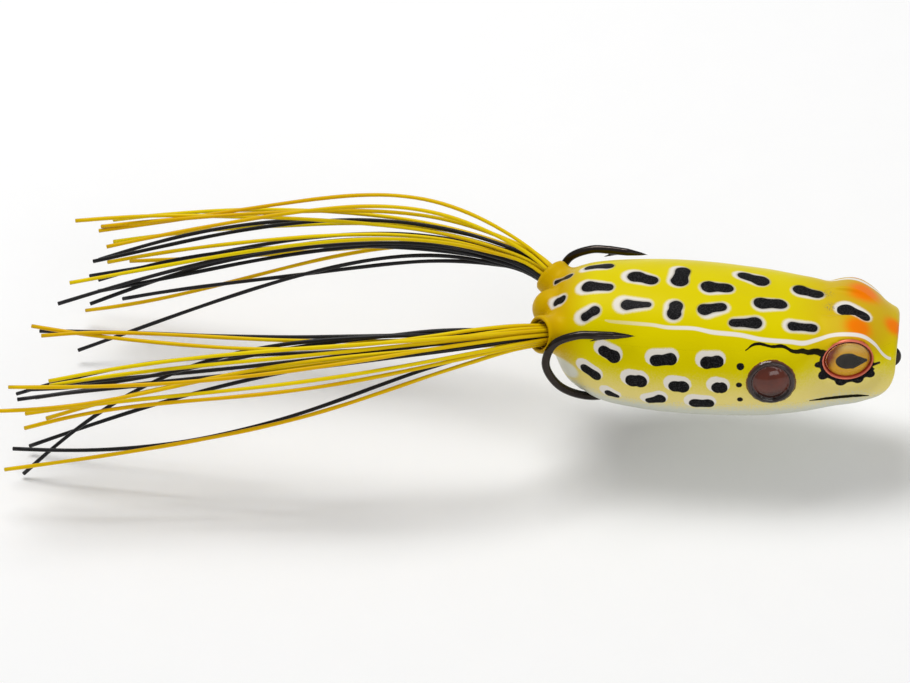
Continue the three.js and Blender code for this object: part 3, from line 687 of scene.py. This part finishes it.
# Spots as (x, height, radius) at each end, the same on both flanks.
FLANK_SPOTS = [
    ((-17.5, 4.5, 0.95), (-15.7, 3.8, 1.2)), ((-8.5, 3.9, 1.05), (-6.0, 4.3, 1.1)),
    ((-20.7, 0.4, 0.9), (-18.9, -0.6, 1.05)), ((-12.5, -0.4, 1.25), (-11.2, -0.3, 1.3)),
    ((-5.2, -0.7, 1.15), (-4.0, -0.7, 1.25)), ((-16.6, -4.3, 0.9), (-15.3, -4.6, 0.55)),
    ((-9.7, -4.6, 0.7), (-7.8, -3.8, 1.05)), ((-1.8, -4.3, 1.1), (0.4, -4.2, 1.05)),
    ((0.1, 4.0, 1.1), (1.9, 4.2, 1.1)), ((2.1, -0.6, 1.15), (2.6, -0.6, 1.15)),
]
# Dots behind the eardrum, as (x, height, radius).
DOTS = [(5.8, 3.4, 0.67), (5.6, 0.0, 0.54), (5.8, -3.1, 0.5)]
# Lobes of the black edge round the eye, from its centre: (forward, up, radius).
SCALLOPS = [(-4.85, -0.5, 0.66), (-3.95, -2.9, 0.98), (-1.0, -4.45, 1.05), (1.75, -4.2, 0.98),
            (3.75, -3.05, 0.9)]
# Drawn lines as (x, height, half width), and the stripe as (x, off the middle, height, half width).
CHEEK_LINE = [(6.4, 5.8, 0.1), (7.5, 6.4, 0.19), (8.7, 6.6, 0.2), (9.8, 6.4, 0.18), (11, 6.15, 0.19),
              (12.3, 6.15, 0.23), (13.2, 5.95, 0.23), (14.2, 5.45, 0.25), (15.1, 5.25, 0.3), (16, 5.3, 0.34),
              (17.1, 5.0, 0.42), (18.2, 4.9, 0.58), (20.2, 4.0, 1.0)]
MOUTH_LINE = [(17.2, -4.35, 0.1), (19.2, -4.55, 0.2), (21.2, -4.75, 0.24), (23.5, -4.8, 0.24),
              (25.6, -4.7, 0.22), (27.6, -4.65, 0.1)]
STRIPE_LINE = [(-17.8, 8.9, 8.65, 0.1), (-16.6, 9.15, 8.6, 0.26), (-12, 9.5, 8.6, 0.32),
               (-9.2, 9.7, 8.6, 0.31), (-6.8, 10.0, 8.45, 0.34), (-2.3, 9.9, 8.4, 0.34),
               (0.9, 10.2, 8.0, 0.4), (5.5, 10.1, 7.6, 0.4), (9.2, 10.3, 7.0, 0.4), (14.1, 9.8, 6.4, 0.4),
               (16.2, 9.5, 6.0, 0.43), (18.3, 8.5, 6.0, 0.4), (20.5, 7.75, 6.4, 0.38), (23.5, 8.2, 7.4, 0.4),
               (26.2, 7.8, 6.8, 0.4), (28, 7.7, 5.3, 0.36), (29.4, 6.9, 2.6, 0.32), (30.9, 7.0, 1.8, 0.27)]
# Orange mists on the brows and the lip, as (x, y, height, radius).
AIRBRUSH = [(25.6, 4.2, 6.9, 2.9), (25.0, -5.9, 6.8, 2.4), (30.9, -1.7, 4.4, 2.0)]
# Patches of fine dots on the head, as (x, y, radius squared).
SPECKLES = [(19.2, 2.6, 1.1), (20.3, -1.2, 0.9)]
HEAD_SPOT_X, HEAD_FLAT = 20, 0.2  # spots on the sloping brow ignore most of their height
TICK = (27.7, 0, 1.35), (28.9, 0, 1.95), 0.32, 0.26


def on_back(x, y):
    """The point of the skin above (x, y)."""
    middle, top = outline("middle", x), outline("top", x)
    power = outline("top_power", x)
    rise = max(1 - (abs(y) / outline("width", x)) ** power, 0) ** (1 / power)
    tail = max((TAIL_X + TAIL_ROUND - x) / TAIL_ROUND, 0)
    return (x, y, middle + (top - middle) * rise * math.sqrt(max(1 - tail**2, 0)))


def on_flank(x, z):
    """The point of the right flank at (x, z)."""
    upper = z > outline("middle", x)
    reach = abs(outline("top" if upper else "bottom", x) - outline("middle", x))
    power = outline("top_power" if upper else "bottom_power", x)
    out = max(1 - (abs(z - outline("middle", x)) / reach) ** power, 0) ** (1 / power)
    return (x, -outline("width", x) * out, z)


def smooth_column(rows, column, x):
    """One column of a line's table as a smooth curve along x."""
    at = np.linspace(rows[0][0], rows[-1][0], 200)
    return np.interp(x, at, [hermite([(row[0], row[column]) for row in rows], t) for t in at])


NO_LINE = 50.0  # stands for no line near by, in half widths
OFF_DRUM = 20.0  # stands for no eardrum near by, mm


def band(off, half, rows, x):
    """How many half widths a point is off a line's middle, large beyond the line's ends."""
    share = off / half
    outside = (x < rows[0][0]) | (x > rows[-1][0])
    return np.where(outside, np.copysign(NO_LINE, share), share)


def back_bar(x, y, z, a, b, ra, rb, flat, waist=0.0):
    """Distance to a bar on the back, where heights count for only a share of their size."""
    scale = (1, 1, flat)
    gap = capsule(x, y, flat * z, np.multiply(a, scale), np.multiply(b, scale), ra, rb, waist)
    return np.where(z > 3, gap, FAR)


def back_paint(x, y, z):
    """Distances to the back's spots and to their halos, which are shifted and uneven."""
    spot, halo = np.full(x.shape, FAR), np.full(x.shape, FAR)
    for a, b, (shift, over, wide) in BACK_SPOTS:
        pa, pb = np.array(on_back(a[0], a[1])), np.array(on_back(b[0], b[1]))
        flat = HEAD_FLAT if a[0] > HEAD_SPOT_X else 1.0
        spot = np.minimum(spot, back_bar(x, y, z, pa, pb, a[2], b[2], flat, 0.12))
        moved = np.array([shift, over, 0])
        ring = back_bar(x, y, z, pa + moved, pb + 0.5 * moved, a[2] + wide, b[2] + 0.85 * wide, flat)
        halo = np.minimum(halo, ring)
    return spot, halo


def flank_paint(x, y, z):
    """Distances to both flanks' spots and dots, and to the spots' halos, which sit high."""
    side = -np.abs(y)
    spot, halo = np.full(x.shape, FAR), np.full(x.shape, FAR)
    for a, b in FLANK_SPOTS:
        pa, pb = on_flank(a[0], a[1]), on_flank(b[0], b[1])
        spot = np.minimum(spot, capsule(x, side, z, pa, pb, a[2], b[2], 0.08))
        back, front = np.array(pa) + (-0.4, 0, 0.65), np.array(pb) + (0.0, 0, 0.55)
        halo = np.minimum(halo, capsule(x, side, z, back, front, a[2] + 0.45, b[2] + 0.33))
    for dx, dz, r in DOTS:
        spot = np.minimum(spot, capsule(x, side, z, on_flank(dx, dz), on_flank(dx + 0.01, dz), r, r))
    return spot, halo


def eye_patch(x, y, z):
    """The scalloped black edge under the eye, with the tick in front of it."""
    _, out = round_axis(x, np.abs(y), z, EYE, EYE_AXIS)
    angle = np.arctan2(z - EYE[2], x - EYE[0])
    lower = (angle < -0.35) | (angle > 2.75)
    patch = np.where(lower, np.abs(out - EYE_R) - 0.45, FAR)
    for forward, up, r in SCALLOPS:
        patch = join(patch, np.hypot(x - EYE[0] - forward, z - EYE[2] - up) - r, 0.25)
    flat = np.minimum(patch, capsule(x, 0 * y, z, *TICK))
    return np.where((np.abs(y) > 4) & (x > 15), flat, FAR)


def face_lines(x, away, z):
    """Half widths off the wavy line on the cheek, or off the mouth's line below it."""
    cheek = band(z - smooth_column(CHEEK_LINE, 1, x), smooth_column(CHEEK_LINE, 2, x), CHEEK_LINE, x)
    lips = band(smooth_column(MOUTH_LINE, 1, x) - z, smooth_column(MOUTH_LINE, 2, x), MOUTH_LINE, x)
    return np.where(away < 5, NO_LINE, np.where(z > 0, cheek, lips))


def side_stripe(x, away, z):
    """Half widths off the pale stripe, measured round the body."""
    middle, width, top = outline("middle", x), outline("width", x), outline("top", x)
    line_away, line_height = smooth_column(STRIPE_LINE, 1, x), smooth_column(STRIPE_LINE, 2, x)
    line_angle = np.arctan2((line_height - middle) / (top - middle), line_away / width)
    angle = np.arctan2((z - middle) / (top - middle), away / width)
    off = (angle - line_angle) * np.hypot(away, z - middle)
    return band(off, smooth_column(STRIPE_LINE, 3, x), STRIPE_LINE, x)


def mist(x, y, z):
    """Strength of the orange airbrushing."""
    strength = np.zeros(x.shape)
    for ox, oy, oz, r in AIRBRUSH:
        gap = (x - ox) ** 2 + (y - oy) ** 2 + (z - oz) ** 2
        strength = np.maximum(strength, np.exp(-(gap / r**2)))
    return strength


def paint_shell(shell, points):
    """Keeps the pattern on the mesh: distances in millimetres, strengths from 0 to 1."""
    x, y, z = points.T
    away = np.abs(y)
    back, flank = back_paint(x, y, z), flank_paint(x, y, z)
    paint(shell, "spot", np.minimum(np.minimum(back[0], flank[0]), eye_patch(x, y, z)))
    paint(shell, "halo", np.minimum(back[1], flank[1]))
    on_top = ease(4.5, 7.5, z)
    paint(shell, "softness", 0.12 + 0.22 * on_top)
    paint(shell, "fringe", on_top * (x < HEAD_SPOT_X))
    paint(shell, "height", z - 1.2 * ease(-16, -27, x) - 0.4 * ease(14, 24, x))
    paint(shell, "head", ease(12, 24, x) * ease(2, 6, z) * 0.8)
    paint(shell, "golden", 0.95 * ease(-19.5, -26.5, x))
    paint(shell, "line", face_lines(x, away, z))
    paint(shell, "stripe", side_stripe(x, away, z))
    paint(shell, "stripe_strength", 0.3 + 0.7 * ease(-17, -3, x))
    _, drum = round_axis(x, away, z, DRUM, DRUM_AXIS)
    paint(shell, "drum", np.where(away > 8, drum, OFF_DRUM))
    # How far below the eardrum's middle, which sets its painted shade.
    paint(shell, "drum_low", DRUM[2] - z)
    paint(shell, "orange", mist(x, y, z))
    ledge = np.exp(-(((x + 24.6) / 2.5) ** 2 + ((z + 1.4) / 2.0) ** 2)) * (away > 6)
    paint(shell, "pale", ease(0.25, 0.45, ledge))
    grains = sum(np.exp(-(((x - sx) ** 2 + (y - sy) ** 2) / r2)) for sx, sy, r2 in SPECKLES)
    paint(shell, "speckle", np.clip(grains, 0, 1) * (z > 3))


# ---------------------------------------------------------------- pieces
SHELL_STEP, HOOK_STEP = 0.32, 0.15
BARB_ROOT, BARB_HEEL, BARB_TIP = (-16.9, 12.5, 7.6), (-17.8, 12.5, 7.55), (-19.7, 12.5, 6.68)
FORGED_FROM = 26.0


def build_shell():
    low, high = np.array([-33.0, -16.0, -12.4]), np.array([33.2, 16.0, 12.8])
    cells = np.ceil((high - low) / SHELL_STEP).astype(int)
    axes = [low[i] + SHELL_STEP * np.arange(cells[i]) for i in range(3)]
    x, y, z = np.meshgrid(*axes, indexing="ij")
    field = shell_distance(x, y, z)
    points, quads = skinned(field, low, SHELL_STEP, shell_distance)
    shell = make_mesh("frog_shell", points, quads)
    paint_shell(shell, points)
    shell.data.materials.append(skin_material())
    stand_for(shell, "body_shell", "body")


def stamp(field, low, a, b, ra, rb, blend):
    """Joins one tapered bar into a grid of distances, with a fillet of about blend."""
    a, b = np.asarray(a, float), np.asarray(b, float)
    pad = max(ra, rb) + 5 * HOOK_STEP
    start = np.maximum(np.floor((np.minimum(a, b) - pad - low) / HOOK_STEP).astype(int), 0)
    stop = np.minimum(np.ceil((np.maximum(a, b) + pad - low) / HOOK_STEP).astype(int), field.shape)
    window = tuple(slice(i, j) for i, j in zip(start, stop))
    axes = [low[i] + HOOK_STEP * np.arange(start[i], stop[i]) for i in range(3)]
    x, y, z = np.meshgrid(*axes, indexing="ij")
    bar = capsule(x, y, z, a, b, ra, rb)
    field[window] = join(field[window], bar, blend) if blend else np.minimum(field[window], bar)


def hook_wire():
    """Rows of (x, y, z, radius) along one half of the wire, from the shank to the point."""
    wire = np.vstack([spline(SHANK, 6)[:-1], spline(BEND, 8)])
    wire = np.column_stack([wire, np.full(len(wire), WIRE_R)])
    return np.vstack([wire[:-1], POINT])


def press_flat(field, low):
    """Flattens the front of the wire, as forging leaves the line-tie eye."""
    x = low[0] + HOOK_STEP * np.arange(field.shape[0])
    y = low[1] + HOOK_STEP * np.arange(field.shape[1])
    flat = np.abs(y) - LINE_EYE_FLAT - 0.35 * ease(28.6, 27.0, x)[:, None]
    pressed = cross(field, np.broadcast_to(flat[:, :, None], field.shape), 0.2)
    return np.where((x > FORGED_FROM)[:, None, None], pressed, field)


def build_hook():
    low, high = np.array([-29.2, -15.0, -12.6]), np.array([34.2, 15.0, 10.4])
    field = np.full(np.ceil((high - low) / HOOK_STEP).astype(int), FAR)
    wire = hook_wire()
    for side in (1, -1):
        mirror = np.array([1, side, 1])
        for a, b in zip(wire, wire[1:]):
            stamp(field, low, a[:3] * mirror, b[:3] * mirror, a[3], b[3], 0.0)
        for start in (BARB_ROOT, BARB_HEEL):
            stamp(field, low, np.array(start) * mirror, np.array(BARB_TIP) * mirror, 0.3, 0.05, 0.2)
    angles = np.linspace(0, 2 * math.pi, 41)
    ring = np.column_stack([LINE_EYE[0] + LINE_EYE_R * np.cos(angles), 0 * angles,
                            LINE_EYE[2] + LINE_EYE_R * np.sin(angles)])
    for a, b in zip(ring, ring[1:]):
        stamp(field, low, a, b, WIRE_R, WIRE_R, 0.0)
    points, quads = skinned(press_flat(field, low), low, HOOK_STEP)
    hook = make_mesh("double_hook_wire", points, quads)
    relax = hook.modifiers.new("polish", "CORRECTIVE_SMOOTH")
    relax.iterations = 3
    relax.use_only_smooth = True
    hook.data.materials.append(metal_material())
    stand_for(hook, "double_hook", "hook")


def side_of(point, side):
    return np.array([point[0], side * point[1], point[2]])


def body_points(piece):
    """The piece's points in millimetres from the body's axis."""
    return np.array([v.co for v in piece.data.vertices]) / MM - (0, 0, AXIS_Z)


SEAT = -0.8  # how deep an eye's parts sit along its axis
EYE_INNER = EYE_R - RIM


def dished(t):
    """The foil's hollow, shallower toward its rim, where t is the share of its radius."""
    return 0.5 * t**2


def eye_rim(word, at, axis, copper):
    turn = np.linspace(0, math.pi, 11)
    crown = [(EYE_R - 0.18 + 0.18 * math.cos(t), 0.32 + 0.18 * math.sin(t)) for t in turn]
    foot = [(EYE_INNER, SEAT), (EYE_R, SEAT)]
    lip = [(EYE_INNER + 0.03, 0.12), (EYE_INNER, 0.0), (EYE_INNER, SEAT)]
    ring = revolved(f"{word}_eye_rim", foot + crown + lip, at, axis, 72)
    _, out = round_axis(*body_points(ring).T, at, axis)
    paint(ring, "inward", ease(EYE_R - 0.25, EYE_INNER, out))
    ring.data.materials.append(copper)
    stand_for(ring, f"{word}_eye_ring", "body")


def pupil(forward, up):
    """Distance to an almond, round behind and pointed in front."""
    rear = np.hypot((forward + 0.6) / 1.25, up) - 1.5
    front = capsule(forward, up, 0 * up, (0.2, -0.1, 0), (2.25, 0.05, 0), 1.4, 0.35)
    return np.minimum(rear, front)


def eye_foil(word, at, axis, foil):
    edge_r = EYE_INNER - 0.04
    dish = [(edge_r * t, dished(t) - 0.45) for t in np.linspace(1, 0, 31)]
    disc = revolved(f"{word}_eye_foil_disc", [(0.0, SEAT), (edge_r, SEAT)] + dish, at, axis, 96)
    local = body_points(disc) - at
    forward, up = local[:, 0], local[:, 2]
    paint(disc, "radius", np.linalg.norm(local, axis=1))
    paint(disc, "up", up)
    paint(disc, "rearward", -0.9 * forward + 0.35 * up)
    paint(disc, "pupil", pupil(forward - 0.55, up + 0.55))
    disc.data.materials.append(foil)
    stand_for(disc, f"{word}_eye_foil", "body")


def eye_dome(word, at, axis, clear):
    rise = 1.5
    ball = (DOME_R**2 + rise**2) / (2 * rise)
    steps = [math.asin(DOME_R / ball) * (1 - i / 16) for i in range(17)]
    cap = [(ball * math.sin(a), 0.15 + rise - ball * (1 - math.cos(a))) for a in steps]
    under = [(DOME_R * t, dished(t) - 0.42) for t in np.linspace(0, 1, 9)]
    dome = revolved(f"{word}_eye_lens", under + cap, at, axis, 72)
    dome.data.materials.append(clear)
    stand_for(dome, f"{word}_eye_dome", "body")


def build_eyes():
    copper, foil, clear = ring_material(), foil_material(), clear_material()
    for side, word in ((1, "left"), (-1, "right")):
        at, axis = side_of(EYE, side), side_of(EYE_AXIS, side)
        eye_rim(word, at, axis, copper)
        eye_foil(word, at, axis, foil)
        eye_dome(word, at, axis, clear)


STRAND_R = 0.34
STRANDS = 19
RING_POINTS = 5  # points in each ring of a strand in the CAD
BLACK_STRANDS = {"left": {6, 8, 9, 11, 13, 14, 16, 17, 18}, "right": {4, 5, 8, 9, 11, 13, 14, 17, 18}}
# Each rubber's colours: pale, deep, and painted shade for the strand's edges.
RUBBER_YELLOW = (240, 216, 6), (224, 174, 2), (150, 100, 0)
RUBBER_BLACK = (34, 33, 36), (20, 20, 22), (8, 8, 9)
RUBBER_SHINE = (255, 240, 150)


def centreline(node):
    """The middle of each ring of a packed strand, from its root to its tip, in millimetres.

    No two rings overlap along x, so sorting by x keeps the points of each ring together.
    """
    co = np.array([v.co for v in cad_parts[node].data.vertices]) / MM - (0, 0, AXIS_Z)
    co = np.unique(np.round(co, 4), axis=0)[::-1]
    return co[: len(co) // RING_POINTS * RING_POINTS].reshape(-1, RING_POINTS, 3).mean(axis=1)


def tube(name, path, radius, sides):
    """A round tube along a path, with a radius for each of its points."""
    ahead = np.gradient(path, axis=0)
    ahead /= np.linalg.norm(ahead, axis=1)[:, None]
    across = np.cross(ahead, (0, 0, 1.0))
    across /= np.linalg.norm(across, axis=1)[:, None]
    up = np.cross(across, ahead)
    angles = 2 * math.pi * np.arange(sides) / sides
    cos, sin = np.cos(angles)[None, :, None], np.sin(angles)[None, :, None]
    rings = path[:, None] + radius[:, None, None] * (cos * across[:, None] + sin * up[:, None])
    points = rings.reshape(-1, 3)
    return make_mesh(name, points, outward(points, ring_faces(len(path), sides), path[0]))


def build_strand(side, number, yellow, black, rng):
    """One strand along its packed centreline, a little uneven, closing sharply at both ends."""
    node = f"{side}_strand_{number:02d}"
    path = spline(centreline(node), 4)
    steps = np.linalg.norm(np.diff(path, axis=0), axis=1)
    reach = np.concatenate([[0], np.cumsum(steps)])
    first, last = path[0], path[-1]
    path = np.vstack([first, first + (path[1] - first) * 0.02, path[1:-1],
                      last + (path[-2] - last) * 0.03, last])
    reach = np.concatenate([[0, 0.02], reach[1:-1], [reach[-1] - 0.02, reach[-1]]])
    radius = STRAND_R * (1 + 0.05 * np.sin(reach * rng.uniform(0.2, 0.5) + rng.uniform(0, 6)))
    radius[0] = radius[-1] = 0.004
    piece = tube(f"{node}_rubber", path, radius, 12)
    tone = rng.uniform(0, 0.6)
    paint(piece, "tone", np.repeat(tone + 0.25 * np.sin(reach * 0.05 + tone * 9), 12))
    is_black = number in BLACK_STRANDS[side]
    piece.data.materials.append(black if is_black else yellow)
    stand_for(piece, node, f"{side}_leg")


def build_collar(side, sign, finish):
    turn = np.linspace(-1, 1, 9)
    crown = [(COLLAR_R - 0.12 * t * t, COLLAR_HALF * t) for t in turn]
    back, front = (COLLAR_BORE, -COLLAR_HALF), (COLLAR_BORE, COLLAR_HALF)
    at, axis = side_of(PORT, sign), side_of(PORT_AXIS, sign)
    collar = revolved(f"{side}_leg_crowned_collar", [back] + crown + [front, back], at, axis, 48)
    collar.data.materials.append(finish)
    stand_for(collar, f"{side}_leg_collar", f"{side}_leg_root")


def build_legs():
    yellow = strand_material("strand_rubber_yellow", *RUBBER_YELLOW, 0.34, RUBBER_SHINE)
    black = strand_material("strand_rubber_black", *RUBBER_BLACK, 0.3, WHITE)
    collar_finish = plain_grain("collar_rubber", (206, 170, 20), (188, 148, 14), 0.5, 1.5, 0.03)
    rng = np.random.default_rng(7)
    for side, sign in (("left", 1), ("right", -1)):
        for number in range(1, STRANDS + 1):
            build_strand(side, number, yellow, black, rng)
        build_collar(side, sign, collar_finish)


def repaint(node, material):
    """Gives a kept CAD node its finish."""
    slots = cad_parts[node].material_slots
    for each in slots:
        each.material = material
    if not slots:
        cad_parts[node].data.materials.append(material)


# ---------------------------------------------------------------- stage
VIEW_AZIMUTH, VIEW_ELEVATION, VIEW_ROLL = math.radians(8.5), math.radians(36), math.radians(2.5)
VIEW_DISTANCE = 0.75
VIEW_LENS = 172.98
AIM_RIGHT, AIM_UP = -44.08, -1.115  # how far the picture's centre is from the body's middle, mm


def build_camera():
    c, s = math.cos(VIEW_AZIMUTH), math.sin(VIEW_AZIMUTH)
    level = Vector((-s, c, 0))
    right = Vector((c, s, 0))
    up = level * math.sin(VIEW_ELEVATION) + Vector((0, 0, math.cos(VIEW_ELEVATION)))
    ahead = level * math.cos(VIEW_ELEVATION) - Vector((0, 0, math.sin(VIEW_ELEVATION)))
    rolled_right = right * math.cos(VIEW_ROLL) - up * math.sin(VIEW_ROLL)
    rolled_up = right * math.sin(VIEW_ROLL) + up * math.cos(VIEW_ROLL)
    camera = bpy.data.objects.new("camera", bpy.data.cameras.new("camera"))
    bpy.context.scene.collection.objects.link(camera)
    at = Vector((0, 0, AXIS_Z * MM)) + rolled_right * AIM_RIGHT * MM + rolled_up * AIM_UP * MM
    at -= ahead * VIEW_DISTANCE
    turn = Matrix((rolled_right, rolled_up, -ahead)).transposed()
    camera.matrix_world = Matrix.Translation(at) @ turn.to_4x4()
    camera.data.lens = VIEW_LENS
    camera.data.sensor_width = 36
    camera.data.clip_start = 0.01
    camera.data.clip_end = 20
    bpy.context.scene.camera = camera


def build_inner_finish():
    """The pieces inside keep their CAD solids and get their own finish."""
    weight = plain_grain("cast_weight", (92, 92, 96), (66, 66, 70), 0.55, 0.9, 0.06, Metallic=0.6)
    seal = plain_grain("nose_seal_rubber", (52, 50, 46), (38, 36, 34), 0.6, 2.0, 0.03)
    repaint("tail_weight", weight)
    repaint("nose_collar", seal)


def area_light(name, at, size, watts):
    light = bpy.data.lights.new(name, "AREA")
    light.shape = "RECTANGLE"
    light.size, light.size_y = size
    light.energy = watts
    made = bpy.data.objects.new(name, light)
    bpy.context.scene.collection.objects.link(made)
    made.location = at
    made.rotation_mode = "QUATERNION"
    made.rotation_quaternion = (Vector((0, 0, 0.01)) - Vector(at)).to_track_quat("-Z", "Y")


def build_stage():
    floor_z = CAD_BOX[0].z - 0.6 * MM
    bpy.ops.mesh.primitive_grid_add(x_subdivisions=8, y_subdivisions=8, size=6, location=(0, 0, floor_z))
    floor = bpy.context.object
    floor.name = "floor"
    paper = plain_grain("floor_paper", (252, 252, 252), (250, 250, 250), 0.9, 0.2, 0.01)
    floor.data.materials.append(paper)
    world = bpy.data.worlds.new("studio")
    world.use_nodes = True
    sky = world.node_tree.nodes["Background"]
    sky.inputs["Color"].default_value = (1, 1, 1, 1)
    sky.inputs["Strength"].default_value = 0.42
    bpy.context.scene.world = world
    area_light("key", (-0.2, 0.22, 0.7), (0.45, 0.32), 3.4)
    area_light("front", (0.35, -0.6, 0.45), (0.5, 0.3), 1.2)
    bpy.context.scene.view_settings.view_transform = "Standard"


build_shell()
build_hook()
build_eyes()
build_legs()
build_inner_finish()
build_camera()
build_stage()
